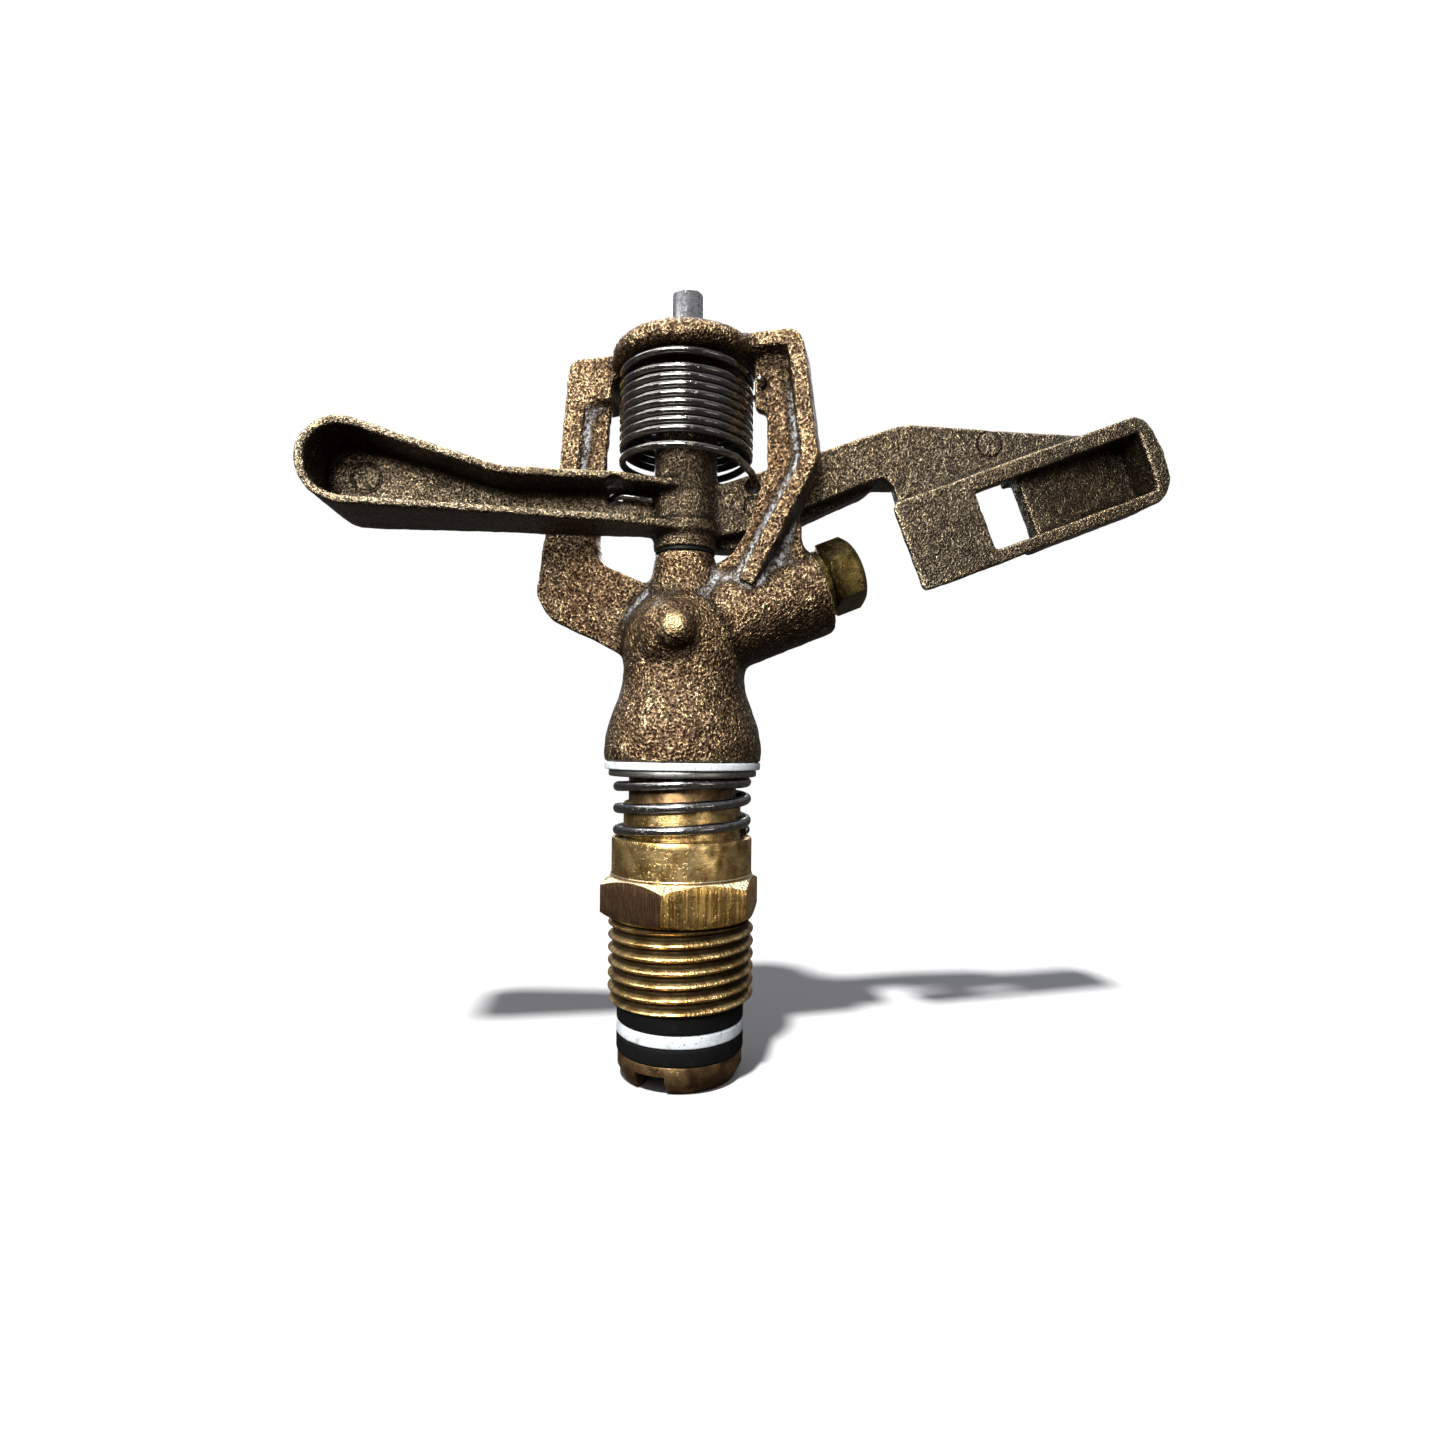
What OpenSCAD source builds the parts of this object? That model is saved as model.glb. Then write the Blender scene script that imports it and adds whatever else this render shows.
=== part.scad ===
// Impact sprinkler: a threaded riser bearing, a turning cast body with a bridge, and a sprung drive arm.
// Millimetres. The origin is on the turning axis, at the underside of the riser hexagon.
// +Z is up, and +X is the way that the nozzle and the resting arm point.

/* [Riser connection] */
// Outer radius of the male pipe thread
thread_r = 10.4775; // [10.4775:G 1/2, 10.668:NPT 1/2]
// Distance from one thread crest to the next
thread_pitch = 1.8143; // [1.8143:14 per inch]
// Length of the threaded end below the hexagon
thread_len = 12; // [12:0.5:14]
// Width of the hexagon across its flats
hex_af = 20.65; // [20.65:13/16 inch, 21:21 mm, 22:22 mm]
// Height of the hexagon
hex_h = 6.2; // [5.6:0.2:6.6]
// Radius of the collar above the hexagon
collar_r = 10.1; // [10.05:0.05:10.4]
// Height of the collar's top face, which carries the bearing spring
collar_top = 11.5; // [11:0.1:11.6]
// Radius of the neck inside the bearing spring
neck_r = 8.45; // [8.3:0.05:8.5]

/* [Bearing] */
// Outer radius of the bearing tube
tube_r = 7.75; // [7.6:0.05:7.8]
// Radius of the water way in the bearing tube
tube_bore_r = 6; // [5:0.25:6.25]
// Radial running gap between the tube and the nipple
running_gap = 0.08; // [0.04:0.01:0.1]
// Radius of the flange at the tube's lower end
foot_r = 8.95; // [8.8:0.05:9.1]
// Radius of the three sealing washers
seal_r = 9.14; // [9:0.02:9.2]
// Thickness of each rubber washer
rubber_t = 2.4; // [2:0.1:2.6]
// Thickness of the white washer between the rubber ones
centre_t = 1.75; // [1.5:0.05:2]
// Wire diameter of the bearing spring
bearing_wire = 1.45; // [1.2:0.05:1.45]
// Mean radius of the bearing spring
bearing_coil_r = 9.25; // [9.25:0.05:9.4]

/* [Body] */
// Height of the body's machined lower face
body_z = 22.2; // [22:0.1:22.4]
// Radius of the bell at its widest
bell_r = 11.35; // [11.2:0.05:11.6]
// Radius of the waist and of the ball above it
waist_r = 8.75; // [8.6:0.05:9]
// Height of the ball's centre
ball_z = 38.6; // [38.4:0.1:38.8]
// Radius of the arm shaft
shaft_r = 2.35; // [2.2:0.05:2.4]
// Height of the shaft's top end
shaft_top = 89.8; // [86:0.1:91]
// Direction of the bridge's flat plane around the turning axis, in degrees
bridge_turn = -20.3; // [-22:0.1:-20]
// Radius of the round cap over the arm spring
cap_r = 10.8; // [10.4:0.1:11.2]

/* [Nozzle] */
// Angle of the jet above the horizontal
jet_angle = 22.5; // [22:0.5:23]
// Radius of the boss that holds the nozzle
boss_r = 6.7; // [6.2:0.1:7]
// Length of the boss along the jet, from the turning axis
boss_len = 20.9; // [20.5:0.1:21.5]
// Width of the nozzle's hexagon across its flats
nozzle_af = 9.5; // [9:0.5:10]
// Radius of the nozzle's outlet
outlet_r = 2.1; // [1.2:0.1:2.6]

/* [Arm] */
// Outer radius of the arm's hub
hub_r = 4.56; // [4.4:0.02:4.6]
// Height of the hub's lower face
hub_z = 52.5; // [52.5:0.05:52.6]
// Height of the hub's upper face
hub_top = 70; // [69.9:0.05:70]
// Half the thickness of the arm's plate beside the bridge
plate_half = 2.4; // [2.2:0.05:2.4]
// Slope of the drive block along the jet
block_angle = 21.85; // [21.6:0.05:22]
// Wire diameter of the arm spring
arm_wire = 1; // [0.8:0.05:1]
// Mean radius of the arm spring
arm_coil_r = 9.2; // [9:0.05:9.25]

/* [Hidden] */
$fn = 72;
bit = 0.05;
through = 60;

bronze = [0.42, 0.31, 0.19];
brass = [0.72, 0.58, 0.28];
steel = [0.72, 0.72, 0.72];
rubber = [0.06, 0.06, 0.06];
plastic = [0.93, 0.94, 0.94];

// Stack of washers under the nipple's lower end
hex_turn = 13.2;
thread_depth = 0.6403 * thread_pitch;
crest_land = 0.3;
upper_seal_z = -thread_len - bit - rubber_t;
centre_z = upper_seal_z - bit - centre_t;
lower_seal_z = centre_z - bit - rubber_t;
foot_top = lower_seal_z - bit;
foot_edge = foot_top - 1.95;
foot_bottom = foot_top - 3.75;
seal_bore_r = tube_r + 0.1;

// Stack of washers under the body
thrust_t = 1.05;
thrust_z = body_z - bit - thrust_t;
spring_washer_t = 0.95;
spring_washer_z = thrust_z - bit - spring_washer_t;
bearing_pitch = 3.12;
bearing_front_z = collar_top + 1.6;
bearing_low_z = collar_top + bearing_wire / 2 + 0.02;
bearing_high_z = spring_washer_z - bearing_wire / 2 - 0.01;

// Inside of the body
socket_r = tube_r - 0.4;
socket_top = body_z + 9.3;
chamber_r = 6.3;
jet_z = ball_z + 1.8;
boss_drop = 0.8;
passage_r = 4.3;
nozzle_thread_r = 4.75;
nozzle_seat = boss_len - 7.2;
post_top = hub_z - 0.5;
shaft_z = 46.6;
cap_z = 78.2;
press_gap = 0.01;

// Arm
bushing_r = hub_r - 1.26;
bushing_len = 6;
slip = 0.07;
tray_floor = [-1, 4];
block_start = [29.65, 0, 59.7];
block_depth = [-5, 3.2];
right_hole = [9.5, 61.8];
left_hole = [-10.1, 59.7];
spring_hole_r = 1.1;
hook_at = [11.3, 75.3];

// ---- Outline helpers ----

function unit(v) = v / norm(v);

// Points along an arc about c, from one angle to another
function arc(c, r, from, to, steps = 8) =
    [for (i = [0:steps]) c + r * [cos(from + (to - from) * i / steps), sin(from + (to - from) * i / steps)]];

// The shorter way around from one angle to another
function turn_between(from, to) = (to - from + 540) % 360 - 180;

// One corner p = [x, y, radius] of an outline, between its neighbours a and b
function corner(a, p, b, steps = 5) =
    let (
        at = [p.x, p.y],
        u = unit([a.x, a.y] - at),
        v = unit([b.x, b.y] - at),
        half = acos(u * v) / 2,
        c = at + unit(u + v) * p.z / sin(half),
        from = atan2((at + u * p.z / tan(half) - c).y, (at + u * p.z / tan(half) - c).x),
        to = atan2((at + v * p.z / tan(half) - c).y, (at + v * p.z / tan(half) - c).x)
    )
    p.z == 0 ? [at] : arc(c, p.z, from, from + turn_between(from, to), steps);

// A closed outline with rounded corners, from [x, y, radius] points
function rounded(p) =
    let (n = len(p))
    [for (i = [0:n - 1]) each corner(p[(i + n - 1) % n], p[i], p[(i + 1) % n])];

// An open path with rounded inner corners
function rounded_path(p) =
    [for (i = [0:len(p) - 1])
        each i == 0 || i == len(p) - 1 ? [[p[i].x, p[i].y]] : corner(p[i - 1], p[i], p[i + 1])];

function right_of(a, b) = let (d = unit(b - a)) [d.y, -d.x];

// A path moved sideways to its right by t, with mitred corners
function beside(path, t) =
    let (last = len(path) - 1)
    [for (i = [0:last])
        let (
            before = max(i - 1, 0),
            after = min(i, last - 1),
            n1 = right_of(path[before], path[before + 1]),
            n2 = right_of(path[after], path[after + 1])
        )
        path[i] + t * (n1 + n2) / (1 + n1 * n2)];

function backwards(p) = [for (i = [len(p) - 1:-1:0]) p[i]];

// A strip of thickness t that lies to the right of a path
function strip(path, t) = concat(path, backwards(beside(path, t)));

// ---- Wire helpers ----

// A point between p[i] and p[i + 1] on the smooth curve through the points p
function curve_at(p, i, t) =
    let (
        a = p[max(i - 1, 0)],
        b = p[i],
        c = p[i + 1],
        d = p[min(i + 2, len(p) - 1)]
    )
    0.5 * (2 * b + (c - a) * t + (2 * a - 5 * b + 4 * c - d) * t * t + (3 * b - a - 3 * c + d) * t * t * t);

// The smooth curve from p[first] to p[last], without its last point
function curve(p, first, last, steps = 5) =
    [for (i = [first:last - 1]) for (k = [0:steps - 1]) curve_at(p, i, k / steps)];

// A round wire along a path that never runs straight up
module wire(path, r, sides = 8) {
    last = len(path) - 1;
    points = [for (i = [0:last])
        let (
            along = unit(path[min(i + 1, last)] - path[max(i - 1, 0)]),
            out = unit(cross(along, [0, 0, 1])),
            up = cross(out, along)
        )
        for (k = [0:sides - 1])
            path[i] + r * (cos(360 * k / sides) * out + sin(360 * k / sides) * up)];
    walls = [for (i = [0:last - 1]) for (k = [0:sides - 1])
        let (next = (k + 1) % sides)
        [i * sides + next, (i + 1) * sides + next, (i + 1) * sides + k, i * sides + k]];
    start = [for (k = [sides - 1:-1:0]) k];
    end = [for (k = [0:sides - 1]) last * sides + k];
    polyhedron(points = points, faces = concat(walls, [start, end]));
}

// ---- Shared shapes ----

module ring(r, hole, z, h) {
    translate([0, 0, z])
        difference() {
            cylinder(r = r, h = h);
            translate([0, 0, -1])
                cylinder(r = hole, h = h + 2);
        }
}

// A plate in the x-z plane, between two values of y
module upright(y0, y1) {
    translate([0, y1, 0])
        rotate([90, 0, 0])
            linear_extrude(y1 - y0)
                children();
}

// A plate in the bridge's plane, where u runs outwards and v runs across it
module bridge_plate(v0, v1) {
    rotate([0, 0, bridge_turn])
        upright(v0, v1)
            children();
}

// Places a shape with its z axis along the jet
module on_jet() {
    translate([0, 0, jet_z])
        rotate([0, 90 - jet_angle, 0])
            children();
}

// Places a plate with x along the drive block and y up its face
module on_block(y0, y1) {
    translate(block_start)
        rotate([0, -block_angle, 0])
            upright(y0, y1)
                children();
}

// A hexagonal prism with both rims turned to a cone
module hexagon(af, h, low_chamfer, high_chamfer) {
    corner_r = af / 2 / cos(30);
    slope = tan(30);
    top_r = af / 2 - high_chamfer;
    low_r = af / 2 - low_chamfer;
    intersection() {
        cylinder(r = corner_r, h = h, $fn = 6);
        rotate_extrude()
            polygon([
                [0, 0],
                [low_r, 0],
                [corner_r + 0.2, (corner_r + 0.2 - low_r) * slope],
                [corner_r + 0.2, h - (corner_r + 0.2 - top_r) * slope],
                [top_r, h],
                [0, h]
            ]);
    }
}

// ---- Riser bearing ----

// One thread crest, as a ring with 27.5 degree flanks
module crest(z) {
    foot = (thread_pitch - crest_land) / 2;
    rotate_extrude()
        polygon([
            [thread_r - thread_depth - 0.5, z - foot],
            [thread_r - thread_depth, z - foot],
            [thread_r, z - crest_land / 2],
            [thread_r, z + crest_land / 2],
            [thread_r - thread_depth, z + foot],
            [thread_r - thread_depth - 0.5, z + foot]
        ]);
}

module bearing_nipple() {
    lowest = -thread_len + 0.82;
    color(brass)
        difference() {
            union() {
                translate([0, 0, -thread_len])
                    cylinder(r = thread_r - thread_depth, h = thread_len + 1);
                for (z = [lowest:thread_pitch:-thread_pitch / 2])
                    crest(z);
                translate([0, 0, -crest_land])
                    cylinder(r = thread_r, h = crest_land);
                rotate([0, 0, hex_turn])
                    hexagon(hex_af, hex_h, 0.3, 0.7);
                rotate_extrude()
                    polygon([
                        [0, 1],
                        [collar_r, 1],
                        [collar_r, collar_top - 0.4],
                        [collar_r - 0.4, collar_top],
                        [neck_r, collar_top],
                        [neck_r, collar_top + 4.6],
                        [neck_r - 0.3, collar_top + 5],
                        [0, collar_top + 5]
                    ]);
            }
            translate([0, 0, -through / 2])
                cylinder(r = tube_r + running_gap, h = through);
        }
}

module bearing_tube() {
    slot_w = 4.5;
    slot_h = 2.4;
    color([0.55, 0.36, 0.22])
        difference() {
            rotate_extrude()
                polygon([
                    [tube_bore_r, foot_bottom + 0.3],
                    [tube_bore_r + 0.3, foot_bottom],
                    [foot_r - 0.95, foot_bottom],
                    [foot_r, foot_edge],
                    [foot_r, foot_top],
                    [tube_r, foot_top],
                    [tube_r, body_z],
                    [socket_r, body_z],
                    [socket_r, socket_top],
                    [tube_bore_r, socket_top]
                ]);
            rotate([0, 0, -122])
                translate([-foot_r - 1, -slot_w / 2, foot_bottom - 1])
                    cube([2 * foot_r + 2, slot_w, slot_h + 1]);
        }
}

module upper_seal_washer() {
    color(rubber)
        ring(seal_r, seal_bore_r, upper_seal_z, rubber_t);
}

module centre_washer() {
    color(plastic)
        ring(seal_r, seal_bore_r, centre_z, centre_t);
}

module lower_seal_washer() {
    color(rubber)
        ring(seal_r, seal_bore_r, lower_seal_z, rubber_t);
}

// Right-handed, with its end coils closed flat
module bearing_spring() {
    start_turn = -0.75;
    end_turn = 2.5;
    steps = 117;
    path = [for (i = [0:steps])
        let (
            turns = start_turn + (end_turn - start_turn) * i / steps,
            rise = bearing_front_z + bearing_pitch * turns,
            a = 360 * turns - 90
        )
        [bearing_coil_r * cos(a), bearing_coil_r * sin(a), min(max(rise, bearing_low_z), bearing_high_z)]];
    color(steel)
        wire(path, bearing_wire / 2, 10);
}

module spring_washer() {
    color(steel)
        ring(10.65, seal_bore_r, spring_washer_z, spring_washer_t);
}

module thrust_washer() {
    color(plastic)
        ring(11.2, seal_bore_r, thrust_z, thrust_t);
}

// ---- Body ----

// Outside of the bell, which narrows smoothly to the waist
function bell_curve(s) =
    [waist_r + (bell_r - waist_r) * (0.5 + 0.5 * cos(180 * pow(s, 1.15))), body_z + 1 + 11.4 * s];

// The bell, the waist, the ball and the post that carries the arm, turned as one
module bell_and_post() {
    steps = 14;
    post_low_r = 5.3;
    rotate_extrude()
        polygon(concat(
            [[0, body_z], [bell_r - 0.3, body_z], [bell_r - 0.05, body_z + 0.3]],
            [for (i = [0:steps]) bell_curve(i / steps)],
            arc([0, ball_z], waist_r, 0, acos(post_low_r / waist_r), 8),
            [[4.3, post_top], [0, post_top]]
        ));
}

// The swelling on the front of the ball, with its small nub
module front_swelling() {
    rotate([0, 0, -110])
        translate([5.2, 0, ball_z + 1.3])
            sphere(r = 5);
    rotate([0, 0, -101])
        translate([9.3, 0, ball_z + 1.4])
            sphere(r = 2.3);
}

right_outer = [[6, 81.6, 0], [17.2, 81.8, 2.6], [19.6, 63.4, 4], [10.7, 46.7, 0]];
right_web = [[10.2, 80.5, 0], [16.5, 80.5, 0], [18.7, 63.4, 0], [10.4, 47.6, 0], [9, 43.5, 0], [3, 43.5, 0],
    [3, 46.6, 0], [5.2, 50.65, 1.5], [7.3, 51.8, 2], [9.3, 54.8, 3], [12.1, 63.5, 3], [12, 71.7, 0.8],
    [10.2, 71.7, 0.6]];
left_outer = [[-6, 36, 0], [-12.6, 39.4, 10], [-19.9, 42.8, 3], [-22.4, 46.4, 3], [-21.3, 54.3, 8],
    [-18.9, 64.8, 8], [-17.4, 81.2, 1.8], [-6, 81.2, 0]];
left_inner = [[-6, 78.3, 0], [-10.6, 78.3, 0.5], [-11.5, 73, 0], [-12.3, 64.8, 5], [-13.1, 55, 3],
    [-12.8, 51.9, 1.5], [-11, 50.4, 1.5], [-5, 47.7, 1], [-3, 46, 0], [-3, 38, 0]];
left_block = [[-16.9, 74.1, 0.5], [-10.8, 74.6, 0.8], [-10.6, 78.3, 0.5], [-6, 78.3, 0], [-6, 81.2, 0],
    [-17.4, 81.2, 1.8]];

right_gusset = [[9.5, 45.5, 0], [14, 55, 0], [15.5, 57.9, 0], [16.8, 55.8, 1.5], [16.8, 53.5, 1],
    [17.3, 52.4, 0], [16.5, 47, 0]];

// The leg that the arm rests against: a thin web with a rib around its outside
module right_leg() {
    rib_t = 2.3;
    rib_front = -3.6;
    rib_back = 2.5;
    stop_back = 3.65;
    stop_path = [for (i = [0:2]) right_outer[i]];
    bridge_plate(-1.5, 0.8)
        difference() {
            polygon(rounded(right_web));
            translate(hook_at)
                circle(r = 0.8);
        }
    bridge_plate(rib_front, rib_back)
        polygon(strip(rounded_path(right_outer), rib_t));
    bridge_plate(rib_back - 0.1, stop_back)
        polygon(strip(rounded_path(stop_path), rib_t));
    bridge_plate(0.3, rib_back - 0.2)
        polygon(rounded(right_gusset));
}

// The other leg: a plate with a thicker foot, an edge rib and a corner block
module left_leg() {
    rib_t = 3;
    foot_top_z = 56;
    outline = rounded(concat(left_outer, left_inner));
    bridge_plate(-1.2, 0.4)
        polygon(outline);
    bridge_plate(-2.6, 0)
        intersection() {
            polygon(outline);
            translate([-30, 30])
                square([40, foot_top_z - 30]);
        }
    bridge_plate(-2.6, 3.6)
        intersection() {
            polygon(outline);
            polygon(strip([for (p = left_outer) [p.x, p.y]], rib_t));
            translate([-30, foot_top_z - 2])
                square([24, 40]);
        }
    bridge_plate(-2.6, 3.6)
        polygon(rounded(left_block));
}

// The round cap that the spring turns under, and the boss that steadies the shaft
module cap() {
    top = cap_z + 3.2;
    edge = 1.5;
    rotate_extrude()
        polygon(concat(
            [[0, cap_z - 7.4], [4.2, cap_z - 7.4], [4.2, cap_z]],
            arc([cap_r - edge, cap_z + edge], edge, -90, 0, 5),
            arc([cap_r - edge, top - edge], edge, 0, 90, 5),
            [[0, top]]
        ));
}

module water_way() {
    rotate_extrude()
        polygon(concat(
            [[0, body_z - 1], [socket_r + press_gap, body_z - 1], [socket_r + press_gap, socket_top]],
            [[chamber_r, socket_top]],
            arc([0, ball_z], chamber_r, 0, 90)
        ));
    on_jet()
        cylinder(r = passage_r, h = boss_len);
    on_jet()
        translate([0, 0, nozzle_seat])
            cylinder(r = nozzle_thread_r + 0.03, h = boss_len);
}

module body_casting() {
    color(bronze)
        difference() {
            union() {
                bell_and_post();
                front_swelling();
                on_jet()
                    translate([boss_drop, 0, 0])
                        cylinder(r = boss_r, h = boss_len);
                right_leg();
                left_leg();
                cap();
            }
            water_way();
            translate([0, 0, shaft_z])
                cylinder(r = shaft_r + press_gap, h = through);
        }
}

module nozzle() {
    hex_z = boss_len + 1.4;
    hex_len = 5;
    turned = 9.5;
    color([0.62, 0.52, 0.26])
        on_jet()
            difference() {
                union() {
                    translate([0, 0, nozzle_seat + 0.2])
                        cylinder(r = nozzle_thread_r, h = boss_len - nozzle_seat);
                    translate([0, 0, boss_len + 0.02])
                        cylinder(r = 5, h = 1.5);
                    translate([0, 0, hex_z])
                        rotate([0, 0, turned])
                            hexagon(nozzle_af, hex_len, 0.2, 0.5);
                }
                rotate_extrude()
                    polygon([
                        [0, nozzle_seat],
                        [3.7, nozzle_seat],
                        [3.7, nozzle_seat + 3],
                        [outlet_r, hex_z + 3],
                        [outlet_r, hex_z + hex_len + 1],
                        [0, hex_z + hex_len + 1]
                    ]);
            }
}

// A ring with crossed vanes that calms the water behind the nozzle
module stream_straightener() {
    length = 8;
    vane_t = 0.6;
    color([0.15, 0.15, 0.16])
        on_jet()
            translate([0, 0, nozzle_seat - length - 0.2])
                union() {
                    ring(passage_r - 0.03, passage_r - 0.6, 0, length);
                    for (a = [0, 90])
                        rotate([0, 0, a])
                            translate([-passage_r + 0.4, -vane_t / 2, 0])
                                cube([2 * passage_r - 0.8, vane_t, length]);
                }
}

module arm_shaft() {
    chamfer = 0.4;
    color(steel)
        rotate_extrude()
            polygon([
                [0, shaft_z],
                [shaft_r - chamfer, shaft_z],
                [shaft_r, shaft_z + chamfer],
                [shaft_r, shaft_top - chamfer],
                [shaft_r - chamfer, shaft_top],
                [0, shaft_top]
            ]);
}

// ---- Arm ----

// The plate from the hub to the drive block: flat in front, and hollow behind, where its rim reaches lower
module arm_plate() {
    web_back = -plate_half + 1.6;
    rim_back = 4.2;
    outline = rounded([
        [0, 54.4, 0], [5.05, 54.46, 3], [8.44, 55.3, 3], [27.25, 63.6, 6], [29.25, 64.13, 1.2],
        [30.45, 62.75, 0.8], [31.5, 59.55, 0], [62.05, 71.5, 0], [61.35, 72.2, 0], [31.65, 72.2, 12],
        [5.45, 62.15, 2], [0, 61.5, 0]
    ]);
    hollow = rounded([
        [6.3, 57.2, 0.6], [8, 56.7, 1.5], [26.5, 64.9, 3], [34.5, 65.6, 2], [47, 68.4, 0.5], [44, 70.9, 1.5],
        [33, 70.9, 4], [6.3, 61, 0.8]
    ]);
    difference() {
        union() {
            upright(-plate_half, rim_back)
                polygon(outline);
            upright(web_back + 0.7, rim_back)
                polygon(rounded([
                    [0, 53, 0], [8.4, 53.3, 3], [27.4, 62.7, 6], [29, 64.2, 0.8], [26, 66, 0], [0, 58, 0]
                ]));
        }
        upright(web_back, rim_back + 1)
            polygon(hollow);
        // the back is cut away beside the drive block
        upright(web_back + 0.3, rim_back + 1)
            polygon([[29.1, 64], [34.2, 64.2], [38, 63], [36, 58], [28.5, 58]]);
        // and where the top thins out above it
        upright(plate_half, rim_back + 1)
            polygon([[48.5, 60], [70, 60], [70, 80], [48.5, 80]]);
    }
}

// The end of the arm that the jet strikes: a wedge, a window and a hollow spoon inside a frame
module drive_block() {
    window = [12.1, 20.7];
    inner = [39.7, -11.5, -2.5];
    back = block_depth[1] + 1;
    front = block_depth[0] - 1;
    outline = rounded([[-0.35, 0, 1], [41.4, 0, 3], [42.5, -6, 5], [42, -13.5, 4.2], [-0.35, -13.5, 0.8]]);
    difference() {
        on_block(block_depth[0], block_depth[1])
            polygon(outline);
        // the window, through the whole block
        on_block(front, back)
            translate([window[0], inner[1]])
                square([window[1] - window[0], inner[2] - inner[1]]);
        // the pocket in front of the spoon, deeper towards the tip
        on_block_profile(inner[1], inner[2])
            polygon([[window[1] - 1, front], [inner[0], front], [inner[0], 0.8], [window[1] - 1, -2.3]]);
        // the space behind the wedge, where the jet comes in
        on_block_profile(-15, 1)
            polygon([[-2, -4.2], [window[0], -2.6], [window[0], -2.2], [window[1], -2.2], [window[1], back],
                [-2, back]]);
        // the curved face of the spoon that turns the jet aside
        on_block_profile(inner[1], inner[2])
            translate([window[1] - 3, 4.4])
                circle(r = 5);
    }
}

// Places an outline of length and depth along the drive block, and draws it from low to high up the face
module on_block_profile(low, high) {
    translate(block_start)
        rotate([0, -block_angle, 0])
            translate([0, 0, low])
                linear_extrude(high - low)
                    children();
}

// Side outline of the counterweight, moved inwards by a wall, and ending at x = inner_end
function tray_outline(wall, inner_end) =
    let (
        slope = 15.5,
        tip = [-44.5, 60.3],
        tip_r = 5.65,
        knee = [-25 - wall * tan(slope / 2), 61 - wall, 12]
    )
    rounded(concat(
        [[inner_end, 54.55 + wall, 0], [inner_end, 61.7 - wall, 0], knee],
        [for (p = arc(tip, tip_r - wall, 90 - slope, 270, 20)) [p.x, p.y, 0]]
    ));

// The rim and the floor both grow towards the tip, so the tray is cut to this plan
tray_plan = [[0, 0.6], [0, -4.7], [-1.5, -5], [-4.5, -5.6], [-9, -7], [-28, -8.3], [-45, -9.2], [-52, -9.5],
    [-52, 3.2]];

// The counterweight: a shallow tray, open to the front
module tray() {
    wall = 1.2;
    front = -10;
    intersection() {
        union() {
            upright(tray_floor[0], tray_floor[1])
                polygon(tray_outline(0, 0));
            upright(front, tray_floor[1])
                difference() {
                    polygon(tray_outline(0, 0));
                    polygon(tray_outline(wall, 1));
                }
        }
        translate([0, 0, 50])
            linear_extrude(20)
                polygon(tray_plan);
    }
}

// A shallow round mark, as an ejector pin leaves
module pin_mark(x, z, r, y) {
    groove = 0.25;
    translate([x, y - 1 + groove, z])
        rotate([-90, 0, 0])
            difference() {
                cylinder(r = r + groove, h = 1, $fn = 32);
                translate([0, 0, -1])
                    cylinder(r = r - groove, h = 3, $fn = 32);
            }
}

module spring_hole(at) {
    upright(-through / 2, through / 2)
        translate(at)
            circle(r = spring_hole_r, $fn = 32);
}

module arm_casting() {
    color([0.4, 0.3, 0.2])
        difference() {
            union() {
                translate([0, 0, hub_z])
                    cylinder(r = hub_r, h = hub_top - hub_z);
                translate([0, 0, hub_z + 2.3])
                    cylinder(r = hub_r + 0.54, h = 1.4);
                arm_plate();
                drive_block();
                tray();
            }
            translate([0, 0, hub_z - 1])
                cylinder(r = bushing_r, h = hub_top - hub_z + 2);
            spring_hole(right_hole);
            spring_hole(left_hole);
            pin_mark(-43.9, 60.7, 1.9, tray_floor[0]);
            pin_mark(45.2, 69.9, 1.9, -plate_half);
            pin_mark(9.75, 58.95, 1.35, -plate_half);
        }
}

module bushing(z) {
    ring(bushing_r - 0.005, shaft_r + slip, z, bushing_len);
}

module lower_arm_bushing() {
    color(rubber)
        bushing(hub_z);
}

module upper_arm_bushing() {
    color(rubber)
        bushing(hub_top - bushing_len);
}

module lower_arm_washer() {
    color(rubber)
        ring(4.3, shaft_r + slip, post_top, hub_z - post_top - bit);
}

module upper_arm_washer() {
    color(rubber)
        ring(4.2, shaft_r + slip, hub_top + bit, cap_z - 7.4 - hub_top - 2 * bit);
}

// Height of the arm spring's wire, by turns after its first pass across the front.
// The first and last turns are open, and the seven between lie close together.
function arm_coil_z(turns) =
    let (open = 2.25, close = 1.17, top = cap_z - 0.95)
    turns < 1 ? top - open * max(turns, -0.05)
    : turns < 8 ? top - open - close * (turns - 1)
    : top - open - 7 * close - open * (turns - 8);

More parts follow.
